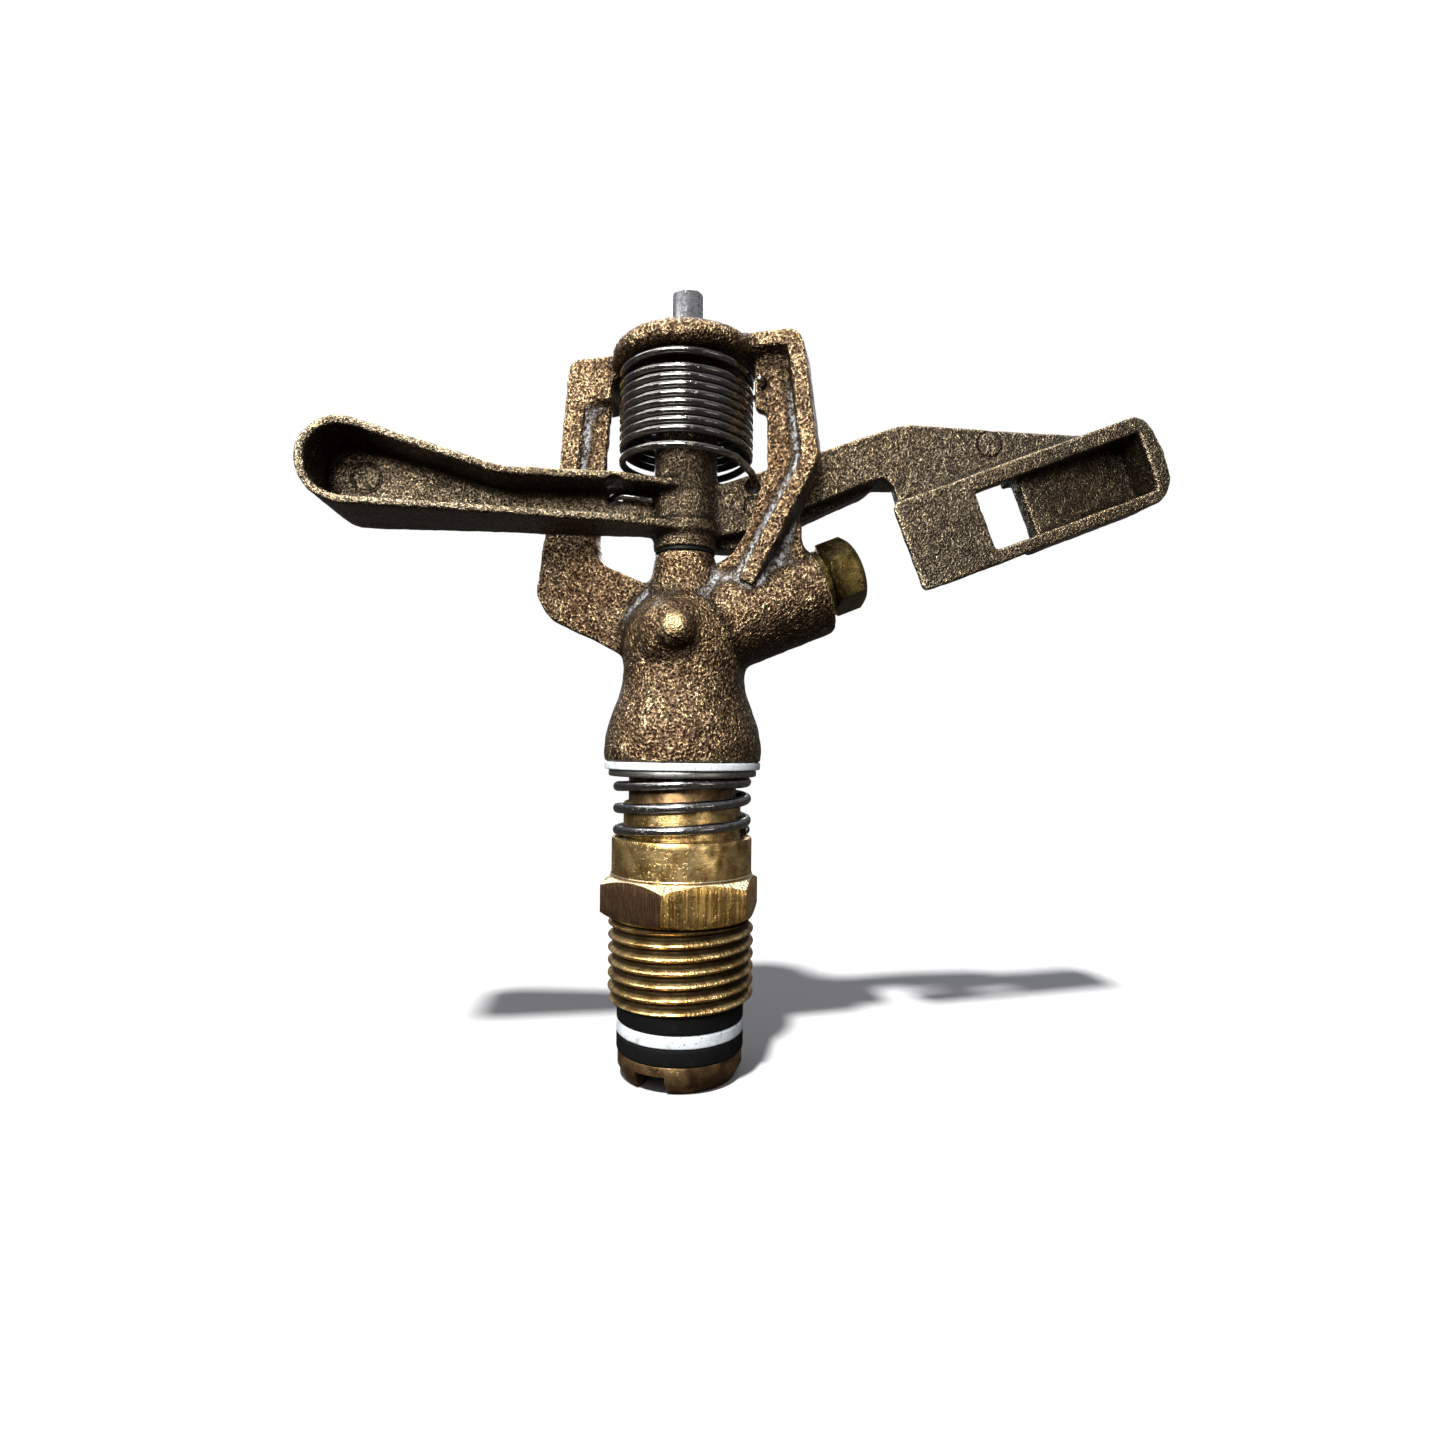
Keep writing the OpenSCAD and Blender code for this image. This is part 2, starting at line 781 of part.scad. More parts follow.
// Left-handed: hooked through the right leg above, and threaded through both holes of the arm below
module arm_spring() {
    first = -0.6;
    last = 9.12;
    steps = 234;
    turned = [cos(bridge_turn), sin(bridge_turn)];
    across = [-sin(bridge_turn), cos(bridge_turn)];
    hook = [for (v = [-3.2, -1.2, 1.6])
        let (p = hook_at.x * turned + v * across)
        [p.x, p.y, hook_at.y]];
    coil = [for (i = [0:steps])
        let (
            turns = first + (last - first) * i / steps,
            a = 360 * turns - 90
        )
        [arm_coil_r * cos(a), arm_coil_r * sin(a), arm_coil_z(turns)]];
    tail = [
        [9, -4.3, 62.9],
        [right_hole.x, -2.4, right_hole.y + 0.2],
        [right_hole.x, 0, right_hole.y],
        [right_hole.x, 3.4, right_hole.y - 0.1],
        [8.6, 5.3, 61.6],
        [5.4, 6.3, 61.4],
        [0, 6.6, 61.1],
        [-6.5, 5.4, 60.6],
        [left_hole.x, 2.4, left_hole.y + 0.2],
        [left_hole.x, 0, left_hole.y],
        [-9.4, -1.9, 59.6],
        [-7.5, -2.35, 59.4],
        [-4.95, -2.3, 59.1]
    ];
    lead = concat(hook, [[8.9, 3.6, 76.6]], [coil[0], coil[1]]);
    trail = concat([coil[steps - 1], coil[steps]], tail);
    path = concat(
        curve(lead, 0, 4),
        [for (i = [0:steps - 1]) coil[i]],
        curve(trail, 1, len(trail) - 1),
        [tail[len(tail) - 1]]
    );
    color(steel)
        wire(path, arm_wire / 2);
}

bearing_nipple();
bearing_tube();
upper_seal_washer();
centre_washer();
lower_seal_washer();
bearing_spring();
spring_washer();
thrust_washer();
body_casting();
nozzle();
stream_straightener();
arm_shaft();
arm_casting();
lower_arm_bushing();
upper_arm_bushing();
lower_arm_washer();
upper_arm_washer();
arm_spring();
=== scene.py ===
"""The looks of an impact sprinkler: cast bronze, machined brass, washers and sprung steel wire.

Shapes are made in millimetres, in the frame's own axes, and turned into metres at the end. The riser
thread's axis is the z axis, the nozzle points along +x, and the open side of the tray faces -y.
"""
import math

import bpy
import numpy as np
from mathutils import Matrix, Vector


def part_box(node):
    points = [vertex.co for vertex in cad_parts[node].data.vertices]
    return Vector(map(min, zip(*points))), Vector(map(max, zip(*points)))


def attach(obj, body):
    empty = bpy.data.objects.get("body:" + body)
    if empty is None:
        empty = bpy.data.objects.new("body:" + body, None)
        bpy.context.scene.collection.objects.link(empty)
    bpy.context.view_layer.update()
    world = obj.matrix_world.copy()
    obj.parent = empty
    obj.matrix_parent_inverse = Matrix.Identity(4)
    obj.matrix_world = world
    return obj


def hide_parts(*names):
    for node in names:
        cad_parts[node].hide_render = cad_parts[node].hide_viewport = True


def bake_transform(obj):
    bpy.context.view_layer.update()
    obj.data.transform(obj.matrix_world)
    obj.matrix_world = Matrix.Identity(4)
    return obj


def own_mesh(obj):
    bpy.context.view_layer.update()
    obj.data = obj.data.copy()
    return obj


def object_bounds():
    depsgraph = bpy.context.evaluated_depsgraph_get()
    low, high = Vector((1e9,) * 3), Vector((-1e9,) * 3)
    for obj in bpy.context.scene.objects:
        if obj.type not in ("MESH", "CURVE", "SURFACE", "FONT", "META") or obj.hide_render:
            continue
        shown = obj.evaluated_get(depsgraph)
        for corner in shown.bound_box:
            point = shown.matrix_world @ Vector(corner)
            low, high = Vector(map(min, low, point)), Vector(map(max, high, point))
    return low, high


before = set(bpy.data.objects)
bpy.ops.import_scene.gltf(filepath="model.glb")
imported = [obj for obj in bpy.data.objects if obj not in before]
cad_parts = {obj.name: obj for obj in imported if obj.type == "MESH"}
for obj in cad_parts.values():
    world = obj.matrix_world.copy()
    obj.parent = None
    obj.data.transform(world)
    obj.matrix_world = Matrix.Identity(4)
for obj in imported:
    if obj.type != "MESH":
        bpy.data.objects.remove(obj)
cad_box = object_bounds()

MM = 0.001
TAU = 2 * math.pi


# ---- Sizes, read from the frame or shared with it -------------------------------------------------------

def low_high(node):
    """Lowest and highest corner of a CAD node, in millimetres."""
    low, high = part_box(node)
    return np.array(low) / MM, np.array(high) / MM


def ring_size(node):
    """Outer radius, lowest z and highest z of a round CAD node."""
    low, high = low_high(node)
    return high[0], low[2], high[2]


BRIDGE_TURN = math.radians(-20.3)
HEX_TURN = math.radians(13.2)
JET_ANGLE = math.radians(22.5)
JET_Z = 40.4
TUBE_R = 7.75
NECK_R = 8.45
HEX_AF = 20.65
HEX_H = 6.2
THREAD_R = 10.4775
THREAD_PITCH = 1.8143
THREAD_DEPTH = 1.1
GIRTH_R = 9.0


# ---- Meshes ---------------------------------------------------------------------------------------------

def add_object(name, points, faces, material, smooth_angle):
    """A new object from points in millimetres, smooth except at edges over an angle in degrees."""
    mesh = bpy.data.meshes.new(name)
    mesh.from_pydata((np.asarray(points) * MM).tolist(), [], faces)
    mesh.materials.append(material)
    obj = bpy.data.objects.new(name, mesh)
    bpy.context.scene.collection.objects.link(obj)
    mesh.shade_smooth()
    mesh.set_sharp_from_angle(angle=math.radians(smooth_angle))
    return obj


def grid_faces(rows, columns, close_rows=False):
    """Quads over a grid of points that closes round its columns."""
    faces = []
    for i in range(rows if close_rows else rows - 1):
        for k in range(columns):
            a = i * columns + k
            b = i * columns + (k + 1) % columns
            c = ((i + 1) % rows) * columns + (k + 1) % columns
            d = ((i + 1) % rows) * columns + k
            faces.append((a, b, c, d))
    return faces


def all_round(columns):
    """Evenly spaced angles of a full turn."""
    return np.arange(columns) * TAU / columns


def turned(rows, angles):
    """Points of a turned shape. A row is (radius, z), and each may vary round the axis."""
    points = []
    for r, z in rows:
        r = np.broadcast_to(r, angles.shape)
        z = np.broadcast_to(z, angles.shape)
        points.append(np.stack([r * np.cos(angles), r * np.sin(angles), z], axis=1))
    return np.concatenate(points)


def round_corner(before, corner, after, radius, steps=4):
    """Profile points that round one corner."""
    p = np.array(corner, float)
    u = np.array(before, float) - p
    v = np.array(after, float) - p
    u /= np.linalg.norm(u)
    v /= np.linalg.norm(v)
    half = math.acos(np.clip(u @ v, -1, 1)) / 2
    start = p + u * radius / math.tan(half)
    end = p + v * radius / math.tan(half)
    share = np.linspace(0, 1, steps)
    return [tuple((1 - t) ** 2 * start + 2 * t * (1 - t) * p + t * t * end) for t in share]


def rounded_loop(profile):
    """A closed profile of (radius, z, corner radius) points, with its corners rounded."""
    out = []
    n = len(profile)
    for i, (r, z, corner) in enumerate(profile):
        if corner == 0:
            out.append((r, z))
        else:
            out += round_corner(profile[i - 1][:2], (r, z), profile[(i + 1) % n][:2], corner)
    return out


def turned_ring(name, profile, material):
    """A closed ring turned from a rounded profile."""
    columns = 144
    rows = rounded_loop(profile)
    points = turned(rows, all_round(columns))
    return add_object(name, points, grid_faces(len(rows), columns, True), material, 40)


def wire(name, path, radius, material, sides=14):
    """A round wire with closed ends along a path."""
    path = np.asarray(path, float)
    along = np.gradient(path, axis=0)
    along /= np.linalg.norm(along, axis=1)[:, None]
    out = np.cross(along, [0.0, 0.0, 1.0])
    out /= np.linalg.norm(out, axis=1)[:, None]
    up = np.cross(out, along)
    turn = np.arange(sides) * TAU / sides
    shape = np.cos(turn)[None, :, None] * out[:, None] + np.sin(turn)[None, :, None] * up[:, None]
    points = path[:, None] + radius * shape
    first = path[0] - along[0] * radius * 0.35 + 0.6 * radius * shape[0]
    last = path[-1] + along[-1] * radius * 0.35 + 0.6 * radius * shape[-1]
    points = np.concatenate([first[None], points, last[None]])
    rows = len(points)
    faces = [tuple(reversed(f)) for f in grid_faces(rows, sides)]
    faces.append(tuple(range(sides)))
    faces.append(tuple(reversed(range((rows - 1) * sides, rows * sides))))
    return add_object(name, points.reshape(-1, 3), faces, material, 60)


def smooth_curve(points, steps=6):
    """A Catmull-Rom curve through the points."""
    p = np.asarray(points, float)
    out = []
    for i in range(len(p) - 1):
        a, b, c, d = p[max(i - 1, 0)], p[i], p[i + 1], p[min(i + 2, len(p) - 1)]
        for t in np.arange(steps) / steps:
            cubic = 2 * b + (c - a) * t + (2 * a - 5 * b + 4 * c - d) * t**2
            cubic += (3 * b - a - 3 * c + d) * t**3
            out.append(0.5 * cubic)
    return out + [p[-1]]


# ---- Castings -------------------------------------------------------------------------------------------

def remeshed(node, voxel):
    """The CAD node's surface as an even mesh of small faces, in metres."""
    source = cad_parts[node]
    work = bpy.data.objects.new("work", source.data.copy())
    bpy.context.scene.collection.objects.link(work)
    work.data.transform(Matrix.Scale(1 / MM, 4))
    modifier = work.modifiers.new("even", "REMESH")
    modifier.mode = "VOXEL"
    modifier.voxel_size = voxel
    modifier.adaptivity = 0
    evaluated = work.evaluated_get(bpy.context.evaluated_depsgraph_get())
    mesh = bpy.data.meshes.new_from_object(evaluated)
    bpy.data.objects.remove(work)
    return mesh


def read_points(mesh):
    """The mesh's points as rows of x, y and z."""
    flat = np.empty(len(mesh.vertices) * 3, np.float32)
    mesh.vertices.foreach_get("co", flat)
    return flat.reshape(-1, 3).astype(float)


def read_normals(mesh, points):
    """Moves the mesh to the points and returns its normals there."""
    mesh.vertices.foreach_set("co", points.astype(np.float32).ravel())
    mesh.update()
    flat = np.empty(len(points) * 3, np.float32)
    mesh.vertex_normals.foreach_get("vector", flat)
    return flat.reshape(-1, 3).astype(float)


def edge_ends(mesh):
    """The two point numbers of every edge."""
    flat = np.empty(len(mesh.edges) * 2, np.int32)
    mesh.edges.foreach_get("vertices", flat)
    return flat.reshape(-1, 2)


def towards_neighbours(points, ends, count):
    """How far each point is from the middle of its neighbours."""
    total = np.empty_like(points)
    for k in range(3):
        value = points[:, k]
        total[:, k] = np.bincount(ends[:, 0], value[ends[:, 1]], len(points))
        total[:, k] += np.bincount(ends[:, 1], value[ends[:, 0]], len(points))
    return total / count[:, None] - points


def cast_surface(mesh, soften, fillet, keep_sharp):
    """Rounds edges a little and fills inner corners, as sand casting does.

    Returns how far each point moved to fill a corner.
    """
    points = read_points(mesh)
    ends = edge_ends(mesh)
    count = np.bincount(ends.ravel(), minlength=len(points)).astype(float)
    free = 1 - keep_sharp(points)
    for _ in range(3):
        points += 0.5 * free[:, None] * towards_neighbours(points, ends, count)
    start = points.copy()
    for step in range(fillet):
        if step % 8 == 0:
            normals = read_normals(mesh, points)
        pull = towards_neighbours(points, ends, count)
        outward = np.clip((pull * normals).sum(axis=1), 0, None) * free
        points += 0.9 * outward[:, None] * normals
    filled = np.linalg.norm(points - start, axis=1)
    for _ in range(soften):
        points += 0.5 * free[:, None] * towards_neighbours(points, ends, count)
    mesh.vertices.foreach_set("co", points.astype(np.float32).ravel())
    mesh.update()
    return filled


def add_values(mesh, name, values):
    """Stores one value for each point, for a material to read."""
    attribute = mesh.attributes.new(name, "FLOAT", "POINT")
    attribute.data.foreach_set("value", values.astype(np.float32))


def casting(name, node, voxel, soften, fillet, keep_sharp, swell, material):
    """Stands for a CAD casting: the same shape with soft edges, fillets and an uneven skin."""
    mesh = remeshed(node, voxel)
    filled = cast_surface(mesh, soften, fillet, keep_sharp)
    points = read_points(mesh)
    normals = read_normals(mesh, points)
    points += normals * ((uneven(points) + swell(points)) * (1 - keep_sharp(points)))[:, None]
    mesh.vertices.foreach_set("co", (points * MM).astype(np.float32).ravel())
    mesh.update()
    add_values(mesh, "fillet", np.clip(filled / 0.5, 0, 1))
    mesh.materials.clear()
    mesh.materials.append(material)
    mesh.shade_smooth()
    obj = bpy.data.objects.new(name, mesh)
    bpy.context.scene.collection.objects.link(obj)
    return obj


def uneven(points):
    """A slow waviness of a few hundredths of a millimetre."""
    waves = np.zeros(len(points))
    rng = np.random.default_rng(7)
    for size, height in ((7.0, 0.03), (3.1, 0.022), (1.5, 0.018)):
        for _ in range(5):
            direction = rng.normal(size=3)
            direction *= TAU / size / np.linalg.norm(direction)
            waves += height / 2.2 * np.sin(points @ direction + rng.uniform(0, TAU))
    return waves


# ---- Material graphs ------------------------------------------------------------------------------------

class Graph:
    """A short way to write a node material. Textures are sized in millimetres."""

    def __init__(self, name):
        self.material = bpy.data.materials.new(name)
        self.material.use_nodes = True
        self.tree = self.material.node_tree
        self.shader = self.tree.nodes["Principled BSDF"]
        place = self.tree.nodes.new("ShaderNodeTexCoord")
        self.place = self.vector("SCALE", place.outputs["Object"], scale=1 / MM)

    def node(self, kind, inputs=None, **settings):
        node = self.tree.nodes.new(kind)
        for key, value in settings.items():
            setattr(node, key, value)
        for key, value in (inputs or {}).items():
            self.put(node.inputs[key], value)
        return node

    def put(self, socket, value):
        """Links a socket to another one, or sets its value."""
        if isinstance(value, bpy.types.NodeSocket):
            self.tree.links.new(value, socket)
        elif isinstance(value, (tuple, list)) and len(socket.default_value) == 4 and len(value) == 3:
            socket.default_value = (*value, 1)
        else:
            socket.default_value = value

    def vector(self, operation, a, b=None, scale=None):
        node = self.node("ShaderNodeVectorMath", {0: a}, operation=operation)
        if b is not None:
            self.put(node.inputs[1], b)
        if scale is not None:
            self.put(node.inputs["Scale"], scale)
        return node.outputs["Value" if operation in ("LENGTH", "DISTANCE", "DOT_PRODUCT") else "Vector"]

    def math(self, operation, a, b=0.0, c=0.0):
        return self.node("ShaderNodeMath", {0: a, 1: b, 2: c}, operation=operation).outputs[0]

    def add(self, *parts):
        total = parts[0]
        for part in parts[1:]:
            total = self.math("ADD", total, part)
        return total

    def times(self, *parts):
        total = parts[0]
        for part in parts[1:]:
            total = self.math("MULTIPLY", total, part)
        return total

    def range(self, value, low, high, to_low=0.0, to_high=1.0):
        """Maps low..high to to_low..to_high smoothly, and stops at both ends."""
        inputs = {"Value": value, "From Min": low, "From Max": high, "To Min": to_low, "To Max": to_high}
        return self.node("ShaderNodeMapRange", inputs, interpolation_type="SMOOTHSTEP").outputs[0]

    def noise(self, size, detail=2.0, rough=0.5, stretch=(1, 1, 1), bend=0.0, place=None):
        """Noise between 0 and 1 whose marks are about size millimetres across."""
        at = self.vector("MULTIPLY", place or self.place, tuple(1 / (size * s) for s in stretch))
        inputs = {"Vector": at, "Scale": 1.0, "Detail": detail, "Roughness": rough, "Distortion": bend}
        return self.node("ShaderNodeTexNoise", inputs).outputs["Fac"]

    def cells(self, size, place):
        """Distance to the nearest of scattered points that are about size millimetres apart."""
        inputs = {"Vector": self.vector("SCALE", place, scale=1 / size), "Scale": 1.0, "Smoothness": 0.6}
        return self.node("ShaderNodeTexVoronoi", inputs, feature="SMOOTH_F1").outputs["Distance"]

    def ramp(self, value, *stops):
        """Colours at stops of (position, colour)."""
        node = self.node("ShaderNodeValToRGB", {"Fac": value})
        elements = node.color_ramp.elements
        while len(elements) < len(stops):
            elements.new(0.5)
        for element, (position, colour) in zip(elements, stops):
            element.position = position
            element.color = (*colour, 1)
        return node.outputs["Color"]

    def mix(self, amount, a, b, blend="MIX"):
        node = self.node("ShaderNodeMix", data_type="RGBA", blend_type=blend)
        self.put(node.inputs[0], amount)
        self.put(node.inputs[6], a)
        self.put(node.inputs[7], b)
        return node.outputs[2]

    def bump(self, height, distance, under=None):
        """Relief whose full height is distance in millimetres, over an optional first relief."""
        inputs = {"Height": height, "Distance": distance * MM}
        if under is not None:
            inputs["Normal"] = under
        return self.node("ShaderNodeBump", inputs).outputs["Normal"]

    def parts(self, vector=None):
        return self.node("ShaderNodeSeparateXYZ", {0: vector or self.place}).outputs

    def radius(self):
        """Distance from the z axis."""
        return self.vector("LENGTH", self.vector("MULTIPLY", self.place, (1, 1, 0)))

    def upward(self):
        """1 where the surface faces up, -1 where it faces down."""
        return self.parts(self.node("ShaderNodeNewGeometry").outputs["Normal"])["Z"]

    def value(self, name):
        """A value stored on the mesh's points."""
        return self.node("ShaderNodeAttribute", attribute_name=name).outputs["Fac"]

    def edges(self):
        """Over 0.5 on outer edges, under it in inner corners."""
        return self.node("ShaderNodeNewGeometry").outputs["Pointiness"]

    def finish(self, **inputs):
        """Connects the shader's inputs, which are named in lower case, and returns the material."""
        for key, value in inputs.items():
            self.put(self.shader.inputs[key.replace("_", " ").title().replace("Ior", "IOR")], value)
        return self.material


def spot(graph, centre, inner, outer):
    """1 within the inner distance of a point, 0 past the outer one."""
    return graph.range(graph.vector("DISTANCE", graph.place, centre), inner, outer, 1.0, 0.0)


def cast_bronze(name, grain, low, middle, high, relief, nub=None, scale_dirt=0.0, marks=(),
                greasy_hole=None):
    """Rough sand-cast bronze: dark in its pits, with painted shade beneath and in inner corners, golden
    where touched, grey scale in corners.

    nub is the middle of a polished spot that also holds a painted highlight, greasy_hole that of a black
    one, and marks are the (centre, radius) of ring-shaped grooves.
    """
    g = Graph(name)
    fine = g.noise(grain, 2.0, 0.55, bend=0.3)
    pits = g.cells(grain * 1.3, place=g.vector("ADD", g.place, (3.1, 1.7, 0.4)))
    coarse = g.noise(grain * 5, 2.0, 0.5)
    skin = g.add(g.times(fine, 0.75), g.times(pits, 0.35), g.times(coarse, 0.25))
    worn = g.range(g.edges(), 0.505, 0.56)
    patches = g.noise(8.0, 3.0, 0.6)
    drift = g.times(g.math("SUBTRACT", patches, 0.5), 0.4)
    tone = g.add(g.range(skin, 0.38, 0.98), g.times(worn, 0.58), drift)
    colour = g.ramp(tone, (0.1, low), (0.5, middle), (1.0, high))
    tint = g.range(g.noise(11.0, 2.0, 0.5), 0.35, 0.65)
    colour = g.mix(g.times(tint, 0.3), colour, (1.0, 0.78, 0.55), "MULTIPLY")
    # Painted shade: downward faces and filled inner corners are darkened towards the low colour.
    painted_shade_below = g.range(g.upward(), 0.05, -0.75)
    painted_corner_shade = g.range(g.value("fillet"), 0.02, 0.3)
    painted_shade = g.times(g.add(painted_shade_below, painted_corner_shade), 0.75)
    colour = g.mix(g.math("MINIMUM", painted_shade, 0.85), colour, low)
    metal = 0.92
    rough = g.range(tone, 0.2, 0.9, 0.38, 0.26)
    if scale_dirt:
        broken = g.range(g.noise(0.7, 4.0, 0.8), 0.46, 0.56)
        corner = g.range(g.value("fillet"), 0.22, 0.85)
        height = g.parts()["Z"]
        zone = g.times(g.range(height, 40.5, 45.0), g.range(height, 76.0, 70.0))
        dirt = g.times(corner, zone, g.add(g.times(broken, 0.92), 0.08), scale_dirt)
        colour = g.mix(dirt, colour, (0.42, 0.43, 0.44))
        metal = g.math("MULTIPLY_ADD", dirt, -0.9, metal)
        rough = g.add(rough, g.times(dirt, 0.4))
    if nub is not None:
        # A polished spot, and also a painted highlight on the nub's upper side.
        polish_and_highlight = g.times(spot(g, nub, 0.3, 2.3), g.range(g.noise(0.9, 3.0), 0.3, 0.6, 0.4, 1.0))
        colour = g.mix(polish_and_highlight, colour, (0.72, 0.53, 0.26))
        rough = g.math("MULTIPLY_ADD", polish_and_highlight, -0.1, rough)
        skin = g.times(skin, g.math("MULTIPLY_ADD", polish_and_highlight, -0.35, 1.0))
    if greasy_hole is not None:
        grease = spot(g, greasy_hole, 1.3, 2.6)
        colour = g.mix(g.times(grease, 0.9), colour, (0.006, 0.005, 0.004))
        metal = g.math("MULTIPLY_ADD", grease, -0.8, metal)
        rough = g.add(rough, g.times(grease, 0.4))
    normal = g.bump(skin, relief)
    for centre, radius in marks:
        away = g.vector("DISTANCE", g.place, centre)
        groove = g.range(g.math("ABSOLUTE", g.math("SUBTRACT", away, radius)), 0.08, 0.32)
        colour = g.mix(g.range(groove, 0.0, 1.0, 0.6, 0.0), colour, low)
        normal = g.bump(groove, 0.22, under=normal)
    return g.finish(base_color=colour, metallic=metal, roughness=rough, normal=normal)


def brass(name, low, high, rough, stain):
    """Machined brass with turning lines, stains and small dents."""
    g = Graph(name)
    rings = g.noise(0.16, 2.0, 0.6, stretch=(30, 1, 1), place=unrolled(g))
    return stained_brass(g, rings, low, high, rough, stain)


def unrolled(g):
    """Texture space unrolled round the z axis: millimetres of girth, then height."""
    x, y, z = g.parts()[:3]
    girth = g.times(g.math("ARCTAN2", y, x), GIRTH_R)
    return g.node("ShaderNodeCombineXYZ", {0: girth, 1: z}).outputs[0]


def stained_brass(g, rings, low, high, rough, stain, colour_over=None, height_over=None, rough_over=0.0):
    """Brass with its stains and pits, and an optional last coat of colour, relief and roughness."""
    stains = g.noise(3.0, 4.0, 0.62, bend=0.6)
    specks = g.range(g.noise(0.5, 3.0, 0.7), 0.56, 0.68)
    tone = g.add(g.times(stains, 1.3), g.times(rings, 0.25), -0.3)
    colour = g.mix(g.range(tone, 0.25, 0.75), low, high)
    dirt = g.times(g.range(g.noise(1.7, 4.0, 0.7, bend=1.0), 0.5, 0.7), stain)
    colour = g.mix(dirt, colour, (0.07, 0.043, 0.02))
    colour = g.mix(g.times(specks, 0.7 * stain), colour, (0.03, 0.02, 0.012))
    height = g.add(g.times(rings, 0.4), g.times(stains, 0.4), g.times(specks, -0.7))
    if colour_over:
        colour = colour_over(colour)
        height = g.add(height, height_over)
    gloss = g.add(rough, g.times(dirt, 0.3), g.times(g.noise(0.8, 2.0), 0.1), rough_over)
    return g.finish(base_color=colour, metallic=0.95, roughness=gloss, normal=g.bump(height, 0.035))


def riser_brass(name, low, high):
    """The nipple's brass: saw marks on the flats, one flat painted dark as shade, and a painted highlight
    on the top chamfer; painted shade under the thread's crests and in its valleys.
    """
    g = Graph(name)
    place = unrolled(g)
    z = g.parts()["Z"]
    radius = g.radius()
    rings = g.noise(0.16, 2.0, 0.6, stretch=(30, 1, 1), place=place)
    in_hexagon = g.times(g.range(z, 0.0, 0.5), g.range(z, HEX_H + 0.1, HEX_H - 0.7))
    on_flats = g.times(in_hexagon, g.range(radius, 10.15, 10.3))
    lines = g.noise(0.26, 3.0, 0.65, stretch=(1, 40, 1), place=place)
    cut = g.times(g.range(lines, 0.42, 0.6), on_flats)
    girth = g.parts(place)["X"]
    # Painted shade: one hexagon flat is darkened as if it were in shade.
    flat_start, flat_end = -26.3, -16.75
    painted_shade_flat = g.times(
        g.range(girth, flat_start, flat_start + 0.15),
        g.range(girth, flat_end, flat_end - 0.12),
        on_flats,
    )
    painted_shade_flat = g.times(painted_shade_flat, g.range(g.noise(1.2, 4.0, 0.7), 0.25, 0.5, 0.8, 1.0))
    on_thread = g.range(z, 0.1, -0.1)
    # Painted shade in the thread's valleys and under its crests.
    painted_valley_shade = g.times(g.range(radius, THREAD_R - 0.25, THREAD_R - 0.8), on_thread)
    painted_shade_below = g.times(g.range(g.upward(), 0.05, -0.5), on_thread)
    # Painted highlight: the upward-facing top chamfer of the hexagon is made bright cream.
    near_top = g.times(g.range(z, 3.5, 4.0), g.range(z, HEX_H + 0.2, HEX_H + 0.1))
    painted_chamfer_highlight = g.times(g.range(g.upward(), 0.55, 0.75), near_top)
    chatter = g.range(g.noise(0.3, 2.0, 0.6, stretch=(1, 3, 1), place=place), 0.45, 0.6)
    chatter = g.times(chatter, g.range(z, 0.1, -0.2), g.range(girth, -15.5, -14.0))

    def coat(colour):
        colour = g.mix(g.times(on_flats, 0.55), colour, (0.85, 0.5, 0.12))
        colour = g.mix(g.times(cut, 0.7), colour, (0.09, 0.05, 0.02))
        colour = g.mix(painted_shade_flat, colour, (0.075, 0.042, 0.022))
        colour = g.mix(g.times(chatter, 0.4), colour, (0.12, 0.07, 0.028))
        colour = g.mix(g.times(painted_chamfer_highlight, 0.85), colour, (0.98, 0.86, 0.56))
        colour = g.mix(g.times(painted_shade_below, 0.6), colour, (0.16, 0.085, 0.02))
        return g.mix(g.times(painted_valley_shade, 0.94), colour, (0.02, 0.011, 0.005))

    relief = g.add(g.times(cut, -3.0), g.times(chatter, 1.0))
    dull = g.add(g.times(painted_shade_flat, 0.25), g.times(painted_valley_shade, 0.3))
    return stained_brass(g, rings, low, high, 0.22, 0.6, coat, relief, dull)


def steel(name, colour, rough, dark, size, shine_radius=None, coil_low=0.0):
    """Bright steel with dark oxide and scratches.

    A coil shines only past shine_radius, and inside it is painted black as shade, down to the height
    coil_low.
    """
    g = Graph(name)
    oxide = g.range(g.noise(0.9 * size, 4.0, 0.65, bend=0.5), 0.5, 0.68)
    pits = g.range(g.noise(0.35 * size, 3.0, 0.7), 0.55, 0.7)
    tint = g.mix(g.times(oxide, dark), colour, (0.09, 0.075, 0.06))
    tint = g.mix(g.times(pits, dark), tint, (0.05, 0.045, 0.04))
    gloss = g.add(rough, g.times(oxide, 0.22))
    metal = 1.0
    if shine_radius:
        # Painted shade: the inner side of a coil is made black and dull.
        inside = g.range(g.radius(), shine_radius + 0.2, shine_radius)
        painted_inner_shade = g.times(inside, g.range(g.parts()["Z"], coil_low, coil_low + 1.0))
        tint = g.mix(painted_inner_shade, tint, (0.008, 0.007, 0.006))
        gloss = g.add(gloss, g.times(painted_inner_shade, 0.6))
        metal = g.math("MULTIPLY_ADD", painted_inner_shade, -0.9, 1.0)
    height = g.add(g.times(pits, -1.0), g.times(g.noise(0.2 * size, 2.0), 0.3))
    return g.finish(base_color=tint, metallic=metal, roughness=gloss, normal=g.bump(height, 0.02))


